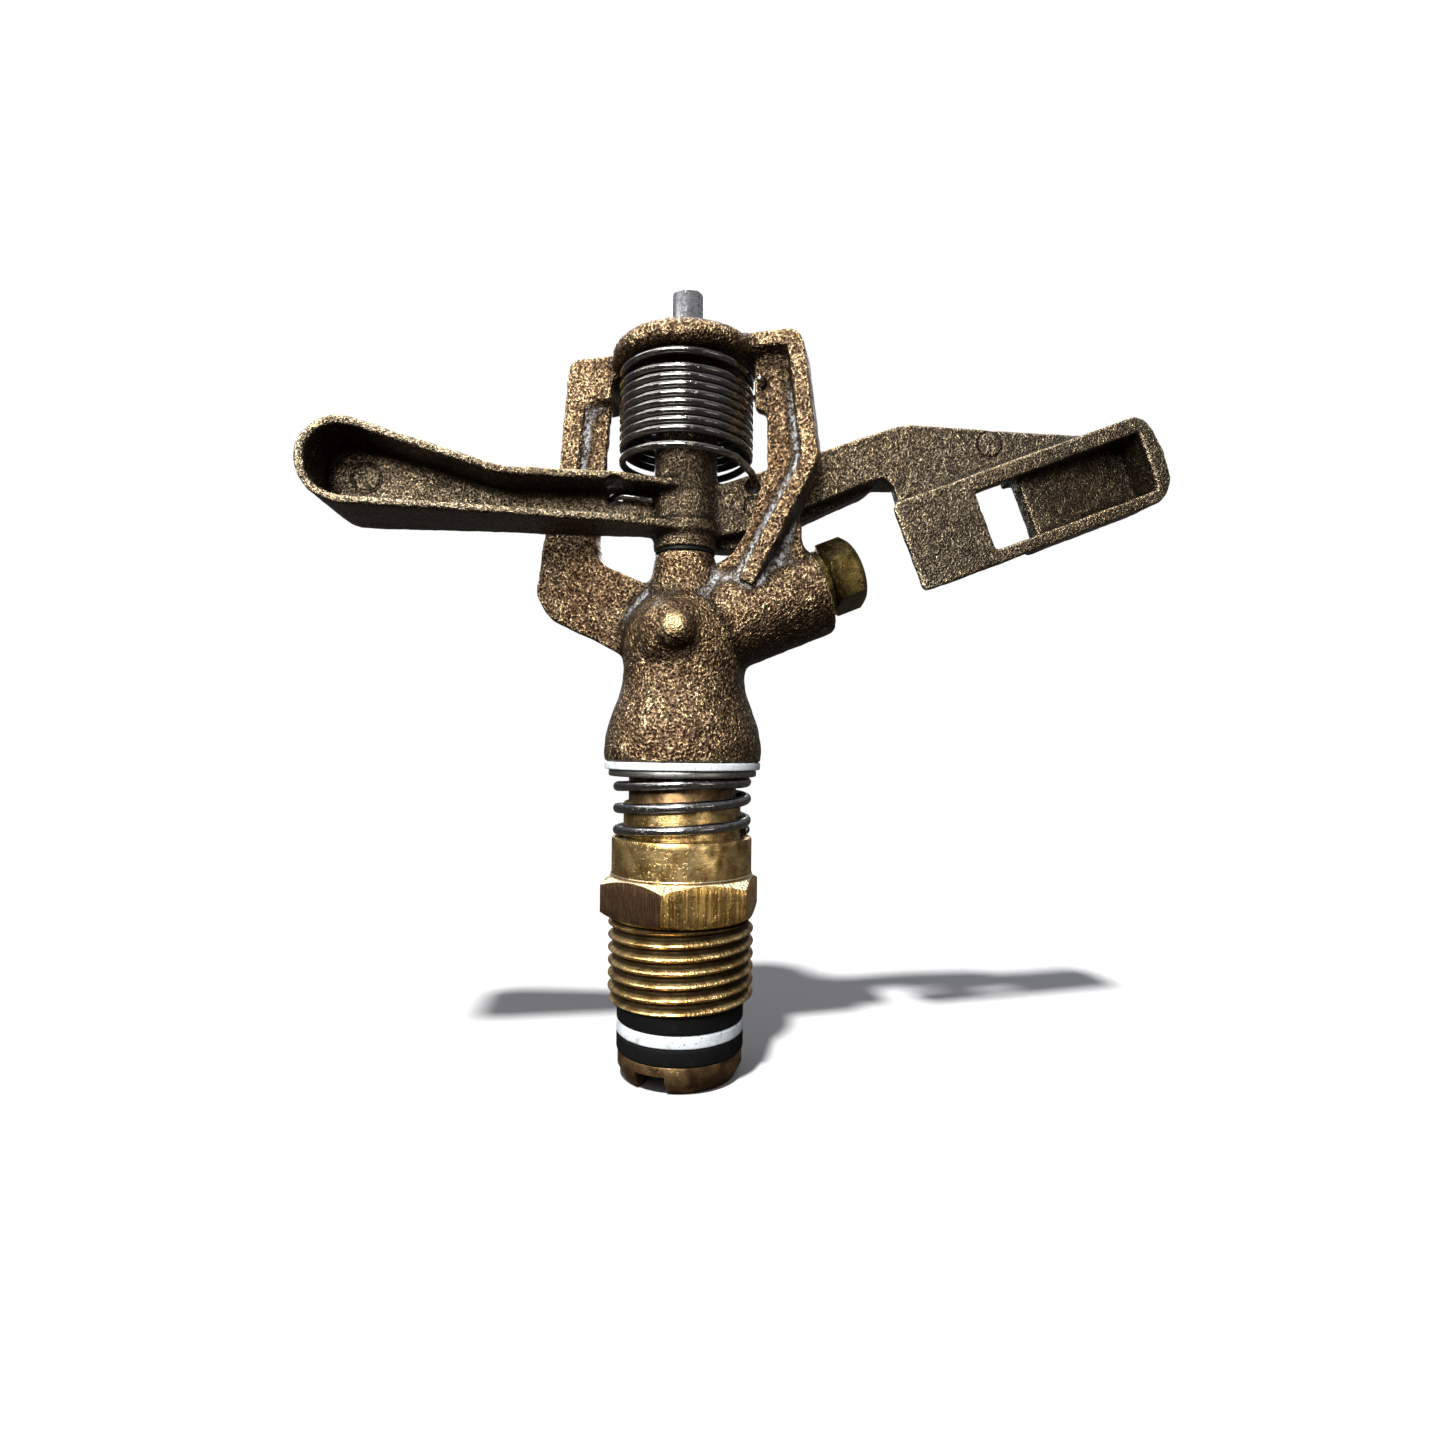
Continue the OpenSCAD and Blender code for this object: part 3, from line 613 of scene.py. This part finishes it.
def white_plastic(name):
    """A smooth white washer, a little soiled."""
    g = Graph(name)
    smudge = g.range(g.noise(2.6, 4.0, 0.65), 0.48, 0.75)
    specks = g.range(g.noise(0.45, 3.0, 0.75), 0.59, 0.68)
    colour = g.mix(g.times(smudge, 0.75), (0.56, 0.6, 0.63), (0.2, 0.2, 0.19))
    colour = g.mix(g.times(specks, 0.85), colour, (0.05, 0.045, 0.04))
    rough = g.add(0.42, g.times(smudge, 0.2))
    normal = g.bump(g.noise(0.5, 3.0, 0.6), 0.03)
    return g.finish(base_color=colour, roughness=rough, normal=normal)


def black_rubber(name, grey, rough):
    """Black rubber or plastic with a little dust."""
    g = Graph(name)
    dust = g.range(g.noise(1.8, 4.0, 0.7), 0.5, 0.8)
    colour = g.mix(g.times(dust, 0.25), (grey,) * 3, (0.03, 0.028, 0.025))
    normal = g.bump(g.noise(0.25, 3.0, 0.6), 0.03)
    gloss = g.add(rough, g.times(dust, 0.2))
    return g.finish(base_color=colour, roughness=gloss, normal=normal, specular_ior_level=0.12)


# ---- Materials ------------------------------------------------------------------------------------------

NUB_MIDDLE = (-1.95, -10.6, 40.3)
# Middle of the nub's polished spot, moved up onto its lit side as a painted highlight.
NUB_POLISH_AND_HIGHLIGHT = (-2.3, -11.0, 40.9)
TRAY_MARK = ((-43.9, -1.0, 60.7), 1.9)
TIP_MARK = ((45.2, -2.4, 69.9), 1.9)
HOLE_MARK = ((9.75, -2.4, 58.95), 1.35)
WIRE_HOLE = (-10.3, -0.6, 60.3)

bronze = cast_bronze(
    "body_bronze", 0.33, (0.017, 0.009, 0.005), (0.094, 0.057, 0.03), (0.57, 0.42, 0.238),
    relief=0.5, nub=NUB_POLISH_AND_HIGHLIGHT, scale_dirt=0.85,
)
arm_bronze = cast_bronze(
    "arm_bronze", 0.25, (0.017, 0.012, 0.008), (0.07, 0.053, 0.035), (0.4, 0.32, 0.205),
    relief=0.3, marks=(TRAY_MARK, TIP_MARK, HOLE_MARK), greasy_hole=WIRE_HOLE,
)
nipple_brass = riser_brass("nipple_brass", (0.29, 0.17, 0.052), (0.94, 0.67, 0.29))
nozzle_brass = brass("nozzle_brass", (0.04, 0.028, 0.008), (0.17, 0.122, 0.038), rough=0.2, stain=0.7)
tube_bronze = brass("tube_bronze", (0.1, 0.052, 0.024), (0.36, 0.23, 0.105), rough=0.34, stain=0.7)
shaft_steel = steel("shaft_steel", (0.42, 0.42, 0.43), rough=0.12, dark=1.0, size=0.45)
washer_steel = steel("washer_steel", (0.3, 0.29, 0.27), rough=0.34, dark=0.9, size=0.6)
wire_steel = steel("wire_steel", (0.28, 0.28, 0.275), rough=0.13, dark=0.85, size=0.9, shine_radius=9.2)
arm_wire_steel = steel(
    "arm_wire_steel", (0.2, 0.19, 0.178), rough=0.1, dark=0.5, size=1.6, shine_radius=9.25, coil_low=62.6
)
white = white_plastic("white_plastic")
rubber = black_rubber("black_rubber", 0.002, 0.75)
black_plastic = black_rubber("black_plastic", 0.004, 0.5)


# ---- The riser bearing ----------------------------------------------------------------------------------

def hex_radius(angles, across_flats):
    """Distance from the axis to a hexagon whose first corner is at angle 0."""
    return across_flats / 2 / np.cos((angles % (TAU / 6)) - TAU / 12)


def chamfered_hexagon(angles, across_flats, z, height, low_cut, high_cut):
    """Rows of a hexagon whose rims are turned to a 30 degree cone, from the low face to the high one."""
    flat = hex_radius(angles, across_flats)
    slope = math.tan(math.radians(30))
    low_r = across_flats / 2 - low_cut
    high_r = across_flats / 2 - high_cut
    low_edge = z + (flat - low_r) * slope
    high_edge = z + height - (flat - high_r) * slope
    rows = [(low_r, z), (flat - 0.04, low_edge - 0.03), (flat, low_edge + 0.05)]
    rows += [(flat, low_edge + (high_edge - low_edge) * t) for t in (0.25, 0.5, 0.75)]
    rows += [(flat, high_edge - 0.05), (flat - 0.05, high_edge + 0.03), (high_r, z + height)]
    return rows


def thread_rows(angles, z_low, z_high):
    """Rows of a right-handed pipe thread with rounded crests, which starts shallow at its low end."""
    root = THREAD_R - THREAD_DEPTH
    rows = []
    for z in np.arange(z_low, z_high, THREAD_PITCH / 14):
        phase = (z - THREAD_PITCH * angles / TAU) / THREAD_PITCH - 0.12
        away = np.abs((phase + 0.5) % 1 - 0.5) * 2
        tooth = (0.5 + 0.5 * np.cos(math.pi * np.clip(away / 0.94, 0, 1))) ** 0.8
        start = np.clip((z - z_low) / 0.5, 0, 1)
        rows.append((root + THREAD_DEPTH * tooth * (0.35 + 0.65 * start), z))
    return rows


def nipple():
    """Brass nipple: helical pipe thread, hexagon, collar and the neck inside the spring."""
    low, high = low_high("bearing_nipple")
    columns = 288
    angles = all_round(columns)
    collar_r = 10.1
    collar_top = 11.5
    bore = TUBE_R + 0.08
    dent = 0.12 * np.exp(-(((angles * 180 / math.pi - 278) / 5) ** 2))
    rows = [(bore, low[2] + 0.3), (bore + 0.3, low[2]), (THREAD_R - THREAD_DEPTH - 0.5, low[2])]
    rows += thread_rows(angles, low[2] + 0.15, -0.35)
    rows += [(THREAD_R - THREAD_DEPTH, -0.3), (THREAD_R - THREAD_DEPTH + 0.2, -0.02)]
    rows += chamfered_hexagon(angles, HEX_AF, 0.0, HEX_H, 0.3, 0.7)
    rows += [(collar_r + 0.12, HEX_H + 0.01), (collar_r, HEX_H + 0.15)]
    rows += [(collar_r - dent * k, z) for k, z in ((0.0, 8.6), (0.7, 9.2), (1.0, 10.0), (1.0, 10.6))]
    rows += [(collar_r - dent, collar_top - 0.4), (collar_r - 0.12, collar_top - 0.12)]
    rows += [(collar_r - 0.4, collar_top), (NECK_R + 0.1, collar_top), (NECK_R, collar_top + 0.1)]
    rows += [(NECK_R, high[2] - 0.35), (NECK_R - 0.1, high[2] - 0.08), (NECK_R - 0.35, high[2])]
    rows += [(bore + 0.1, high[2]), (bore, high[2] - 0.1)]
    points = turned(rows, angles)
    turn = Matrix.Rotation(HEX_TURN, 3, "Z")
    points = points @ np.array(turn).T
    obj = add_object("nipple", points, grid_faces(len(rows), columns, True), nipple_brass, 35)
    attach(obj, "base")
    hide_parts("bearing_nipple")


def washer(name, node, material, body, corner, inner=None):
    """A flat ring with rounded corners in place of a round CAD node."""
    outer, z0, z1 = ring_size(node)
    inner = inner or TUBE_R + 0.1
    profile = [(inner, z0, 0.1), (outer, z0, corner), (outer, z1, corner), (inner, z1, 0.1)]
    obj = turned_ring(name, profile, material)
    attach(obj, body)
    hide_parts(node)


def bearing_coil():
    """Wire of the bearing spring, right-handed, with closed end coils."""
    radius, wire_r, pitch = 9.25, 0.725, 3.12
    low, high = low_high("bearing_spring")
    turns = np.linspace(-0.75, 2.5, 240)
    height = np.clip(13.1 + pitch * turns, low[2] + wire_r, high[2] - wire_r)
    kernel = np.hanning(13)
    padded = np.pad(height, 6, mode="edge")
    height = np.convolve(padded, kernel / kernel.sum(), "valid")
    angle = TAU * turns - math.pi / 2
    path = np.stack([radius * np.cos(angle), radius * np.sin(angle), height], axis=1)
    obj = wire("bearing_coil", path, wire_r, wire_steel)
    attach(obj, "base")
    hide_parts("bearing_spring")
    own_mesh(obj)


def bevelled(node, material, width):
    """Shows a CAD node with softened edges."""
    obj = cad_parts[node]
    obj.data.materials.clear()
    obj.data.materials.append(material)
    weld = obj.modifiers.new("weld", "WELD")
    weld.merge_threshold = 0.002 * MM
    bevel = obj.modifiers.new("soft_edges", "BEVEL")
    bevel.width = width * MM
    bevel.segments = 2
    bevel.limit_method = "ANGLE"
    bevel.angle_limit = math.radians(32)
    obj.data.shade_smooth()
    obj.data.set_sharp_from_angle(angle=math.radians(32))


def bearing():
    nipple()
    washer("top_seal", "upper_seal_washer", rubber, "base", 0.35)
    washer("white_seal", "centre_washer", white, "body", 0.3)
    washer("bottom_seal", "lower_seal_washer", rubber, "body", 0.35)
    washer("steel_washer", "spring_washer", washer_steel, "carrier", 0.28)
    washer("white_washer", "thrust_washer", white, "carrier", 0.2)
    bearing_coil()
    bevelled("bearing_tube", tube_bronze, 0.12)


# ---- The body -------------------------------------------------------------------------------------------

def body():
    """The turning casting: bell, ball, nozzle boss, bridge and cap."""
    face_z = low_high("body_casting")[0][2]
    water_way_r, water_way_top = 7.6, 33

    def machined(points):
        """1 on the turned lower face and in the water way, where nothing is softened."""
        radius = np.hypot(points[:, 0], points[:, 1])
        face = np.clip((face_z + 0.5 - points[:, 2]) / 0.3, 0, 1)
        inside = (radius < water_way_r) & (points[:, 2] < water_way_top)
        return np.maximum(face, inside)

    def nub_foot(points):
        """Widens the foot of the nub into a low dome."""
        away = np.linalg.norm(points - np.array(NUB_MIDDLE), axis=1)
        return 0.18 * np.exp(-(((away - 2.6) / 0.6) ** 2))

    obj = casting(
        "body", "body_casting", 0.3, soften=5, fillet=56, keep_sharp=machined, swell=nub_foot,
        material=bronze,
    )
    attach(obj, "body")
    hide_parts("body_casting")


def jet_frame():
    """Turns z into the direction of the jet, with x pointing down, as the nozzle is built."""
    turn = Matrix.Rotation(math.pi / 2 - JET_ANGLE, 4, "Y")
    return Matrix.Translation((0, 0, JET_Z)) @ turn


def nozzle():
    """Hexagon nozzle with its collar, screwed into the boss."""
    boss_len, across, height = 20.9, 9.5, 5.0
    columns = 240
    angles = all_round(columns)
    hex_z = boss_len + 1.4
    outlet, mouth = 2.1, 3.7
    seat = boss_len - 7.2
    rows = [(mouth, seat + 0.2), (4.75, seat + 0.2), (4.75, boss_len - 0.1), (4.75, boss_len + 0.02)]
    rows += [(4.85, boss_len + 0.04), (5.0, boss_len + 0.2), (5.0, hex_z - 0.35), (4.8, hex_z - 0.15)]
    rows += [(4.5, hex_z - 0.05)]
    rows += chamfered_hexagon(angles, across, hex_z, height, 0.2, 0.5)
    top = hex_z + height
    rows += [(outlet + 0.5, top), (outlet, top - 0.5), (outlet, hex_z + 3), (mouth, seat + 3)]
    points = turned(rows, angles)
    placed = jet_frame() @ Matrix.Rotation(math.radians(9.5), 4, "Z")
    points = points @ np.array(placed.to_3x3()).T + np.array(placed.translation)
    faces = grid_faces(len(rows), columns, True)
    obj = add_object("nozzle_hexagon", points, faces, nozzle_brass, 35)
    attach(obj, "body")
    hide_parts("nozzle")


def shaft():
    """Ground steel pin with a rounded end."""
    r, z0, z1 = ring_size("arm_shaft")
    columns = 96
    rows = [(0.001, z0), (r - 0.4, z0), (r, z0 + 0.4), (r, z1 - 0.6), (r - 0.06, z1 - 0.38)]
    rows += [(r - 0.22, z1 - 0.18), (r - 0.5, z1 - 0.05), (r - 0.9, z1), (0.001, z1)]
    points = turned(rows, all_round(columns))
    obj = add_object("shaft", points, grid_faces(len(rows), columns), shaft_steel, 35)
    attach(obj, "body")
    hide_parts("arm_shaft")


# ---- The arm --------------------------------------------------------------------------------------------

def arm():
    """The arm casting: hub, plate, drive block and tray."""

    def nothing(points):
        return np.zeros(len(points))

    obj = casting(
        "arm", "arm_casting", 0.26, soften=3, fillet=20, keep_sharp=nothing, swell=nothing,
        material=arm_bronze,
    )
    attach(obj, "arm")
    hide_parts("arm_casting")


def arm_coil_z(turns, top):
    """Height of the wire: an open turn, seven close ones, and an open one."""
    open_pitch, close_pitch = 2.25, 1.17
    return np.where(
        turns < 1,
        top - open_pitch * np.maximum(turns, -0.05),
        np.where(
            turns < 8,
            top - open_pitch - close_pitch * (turns - 1),
            top - open_pitch - 7 * close_pitch - open_pitch * (turns - 8),
        ),
    )


def arm_coil():
    """Wire of the arm spring, left-handed: hooked in the right leg, wound, and threaded through the arm."""
    radius, wire_r, top = 9.2, 0.53, 77.25
    hook_u, hook_z = 11.3, 75.3
    right_hole, left_hole = (9.5, 61.8), (-10.5, 59.7)
    out = np.array([math.cos(BRIDGE_TURN), math.sin(BRIDGE_TURN), 0])
    across = np.array([-math.sin(BRIDGE_TURN), math.cos(BRIDGE_TURN), 0])
    hook = [hook_u * out + v * across + np.array([0, 0, hook_z]) for v in (-3.2, -1.2, 1.6)]
    turns = np.linspace(-0.6, 9.12, 700)
    angle = TAU * turns - math.pi / 2
    coil = np.stack([radius * np.cos(angle), radius * np.sin(angle), arm_coil_z(turns, top)], axis=1)
    tail = [
        (9, -4.3, 62.9),
        (right_hole[0], -2.4, right_hole[1] + 0.2),
        (right_hole[0], 0, right_hole[1]),
        (right_hole[0], 3.4, right_hole[1] - 0.1),
        (8.6, 5.3, 61.6),
        (5.4, 6.3, 61.4),
        (0, 6.6, 61.1),
        (-6.5, 5.4, 60.6),
        (left_hole[0], 2.4, left_hole[1] + 0.2),
        (left_hole[0], 0, left_hole[1]),
        (-9.4, -1.9, 59.6),
        (-7.5, -2.35, 59.4),
        (-4.95, -2.3, 59.1),
    ]
    lead = smooth_curve(hook + [(8.9, 3.6, 76.6), coil[0]])
    trail = smooth_curve([coil[-1]] + tail)
    path = np.concatenate([lead[:-1], coil, trail[1:]])
    obj = wire("arm_coil", path, wire_r, arm_wire_steel, sides=12)
    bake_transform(obj)
    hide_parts("arm_spring")


def head():
    body()
    nozzle()
    shaft()
    arm()
    arm_coil()
    washer("hub_washer_low", "lower_arm_washer", black_plastic, "body", 0.08, inner=2.42)
    washer("hub_washer_high", "upper_arm_washer", black_plastic, "body", 0.08, inner=2.42)
    bevelled("lower_arm_bushing", black_plastic, 0.06)
    bevelled("upper_arm_bushing", black_plastic, 0.06)
    bevelled("stream_straightener", black_plastic, 0.05)


# ---- Stage ----------------------------------------------------------------------------------------------

def softbox(name, direction, distance, width, height, power, colour=(1, 1, 1)):
    """A rectangular lamp, in metres, that looks at the middle of the object."""
    middle = Vector((0.008, 0, 0.035))
    lamp = bpy.data.lights.new(name, "AREA")
    lamp.shape = "RECTANGLE"
    lamp.size = width
    lamp.size_y = height
    lamp.energy = power
    lamp.color = colour
    obj = bpy.data.objects.new(name, lamp)
    towards = Vector(direction).normalized()
    obj.location = middle + towards * distance
    obj.rotation_euler = towards.to_track_quat("Z", "Y").to_euler()
    bpy.context.scene.collection.objects.link(obj)
    return obj


def floor():
    """A pale floor that fades into the backdrop.

    Only the camera sees it bright: the metal mirrors a dark one.
    """
    mesh = bpy.data.meshes.new("floor")
    size = 3.0
    z = cad_box[0][2] - 0.0001
    corners = [(-size, -size, z), (size, -size, z), (size, size, z), (-size, size, z)]
    mesh.from_pydata(corners, [], [(0, 1, 2, 3)])
    obj = bpy.data.objects.new("floor", mesh)
    bpy.context.scene.collection.objects.link(obj)
    material = bpy.data.materials.new("floor")
    material.use_nodes = True
    nodes, links = material.node_tree.nodes, material.node_tree.links
    nodes.clear()
    out = nodes.new("ShaderNodeOutputMaterial")
    pale = nodes.new("ShaderNodeBsdfDiffuse")
    pale.inputs["Color"].default_value = (0.5, 0.5, 0.5, 1)
    grey = nodes.new("ShaderNodeBsdfDiffuse")
    grey.inputs["Color"].default_value = (0.045, 0.04, 0.035, 1)
    far = nodes.new("ShaderNodeEmission")
    far.inputs["Color"].default_value = (1, 1, 1, 1)
    place = nodes.new("ShaderNodeTexCoord")
    length = nodes.new("ShaderNodeVectorMath")
    length.operation = "LENGTH"
    links.new(place.outputs["Object"], length.inputs[0])
    fade = nodes.new("ShaderNodeMapRange")
    fade.interpolation_type = "SMOOTHSTEP"
    fade.inputs["From Min"].default_value = 0.12
    fade.inputs["From Max"].default_value = 0.45
    links.new(length.outputs["Value"], fade.inputs["Value"])
    seen = nodes.new("ShaderNodeMixShader")
    links.new(fade.outputs[0], seen.inputs[0])
    links.new(pale.outputs[0], seen.inputs[1])
    links.new(far.outputs[0], seen.inputs[2])
    path = nodes.new("ShaderNodeLightPath")
    both = nodes.new("ShaderNodeMixShader")
    links.new(path.outputs["Is Camera Ray"], both.inputs[0])
    links.new(grey.outputs[0], both.inputs[1])
    links.new(seen.outputs[0], both.inputs[2])
    links.new(both.outputs[0], out.inputs["Surface"])
    mesh.materials.append(material)
    return obj


def backdrop():
    """White for the camera, and a dim studio with a lighter ceiling for everything else."""
    world = bpy.data.worlds.new("studio")
    bpy.context.scene.world = world
    world.use_nodes = True
    nodes, links = world.node_tree.nodes, world.node_tree.links
    shown = nodes["Background"]
    shown.inputs["Color"].default_value = (1, 1, 1, 1)
    shown.inputs["Strength"].default_value = 1.0
    place = nodes.new("ShaderNodeTexCoord")
    parts = nodes.new("ShaderNodeSeparateXYZ")
    links.new(place.outputs["Generated"], parts.inputs[0])
    ramp = nodes.new("ShaderNodeValToRGB")
    ramp.color_ramp.elements[0].position = 0.45
    ramp.color_ramp.elements[0].color = (0.012, 0.012, 0.013, 1)
    ramp.color_ramp.elements[1].position = 0.95
    ramp.color_ramp.elements[1].color = (0.5, 0.51, 0.54, 1)
    rise = nodes.new("ShaderNodeMath")
    rise.operation = "MULTIPLY_ADD"
    rise.inputs[1].default_value = 0.5
    rise.inputs[2].default_value = 0.5
    links.new(parts.outputs["Z"], rise.inputs[0])
    links.new(rise.outputs[0], ramp.inputs[0])
    room = nodes.new("ShaderNodeBackground")
    links.new(ramp.outputs[0], room.inputs["Color"])
    path = nodes.new("ShaderNodeLightPath")
    mix = nodes.new("ShaderNodeMixShader")
    links.new(path.outputs["Is Camera Ray"], mix.inputs[0])
    links.new(room.outputs[0], mix.inputs[1])
    links.new(shown.outputs[0], mix.inputs[2])
    links.new(mix.outputs[0], nodes["World Output"].inputs["Surface"])


def sun(name, energy):
    """A sun from high in front, a little to the left, whose shadow falls behind to the right."""
    lamp = bpy.data.lights.new(name, "SUN")
    lamp.energy = energy
    lamp.angle = math.radians(4)
    obj = bpy.data.objects.new(name, lamp)
    obj.rotation_euler = Vector((-0.2, -0.43, 1.0)).to_track_quat("Z", "Y").to_euler()
    bpy.context.scene.collection.objects.link(obj)
    return obj


def light_only(lamps, receiver, state):
    """Lets lamps light only one object, or all but that one, by light linking."""
    group = bpy.data.collections.new("lit_" + state.lower())
    group.objects.link(receiver)
    group.collection_objects[0].light_linking.link_state = state
    for lamp in lamps:
        lamp.light_linking.receiver_collection = group


def lights(ground):
    """Softboxes and a sun for the metal, and another sun for the floor and its shadow.

    A softbox is given by its name, direction, distance, width, height and power.
    """
    metal = [
        softbox("key", (-0.5, -0.93, 0.45), 0.25, 0.15, 0.11, 1.4),
        softbox("window", (-1.0, -0.25, 0.75), 0.34, 0.24, 0.1, 0.4),
        softbox("top", (-0.12, 0.12, 1.0), 0.4, 0.34, 0.34, 1.6),
        softbox("fill", (0.6, -0.85, -0.02), 0.42, 0.16, 0.08, 0.12, (1.0, 0.94, 0.84)),
        softbox("back", (0.0, 1.0, 0.6), 0.42, 0.3, 0.2, 1.1),
        sun("sun", 1.8),
    ]
    light_only(metal, ground, "EXCLUDE")
    light_only([sun("floor_sun", 6.6)], ground, "INCLUDE")


def camera():
    """A close-up view from low in front, with the slight roll of a held camera."""
    place = Matrix.Translation((-0.00802, -0.11236, 0.0242))
    forward = Vector((0.1219, 0.9925, 0))
    roll = Matrix.Rotation(math.radians(0.64), 4, "Z")
    data = bpy.data.cameras.new("camera")
    data.sensor_width = 36
    data.lens = 19.308
    data.shift_y = 0.01765
    data.clip_start = 0.001
    obj = bpy.data.objects.new("camera", data)
    obj.matrix_world = place @ forward.to_track_quat("-Z", "Y").to_matrix().to_4x4() @ roll
    bpy.context.scene.collection.objects.link(obj)
    bpy.context.scene.camera = obj


def main():
    bearing()
    head()
    ground = floor()
    backdrop()
    lights(ground)
    camera()
    bpy.context.scene.view_settings.view_transform = "Standard"


main()
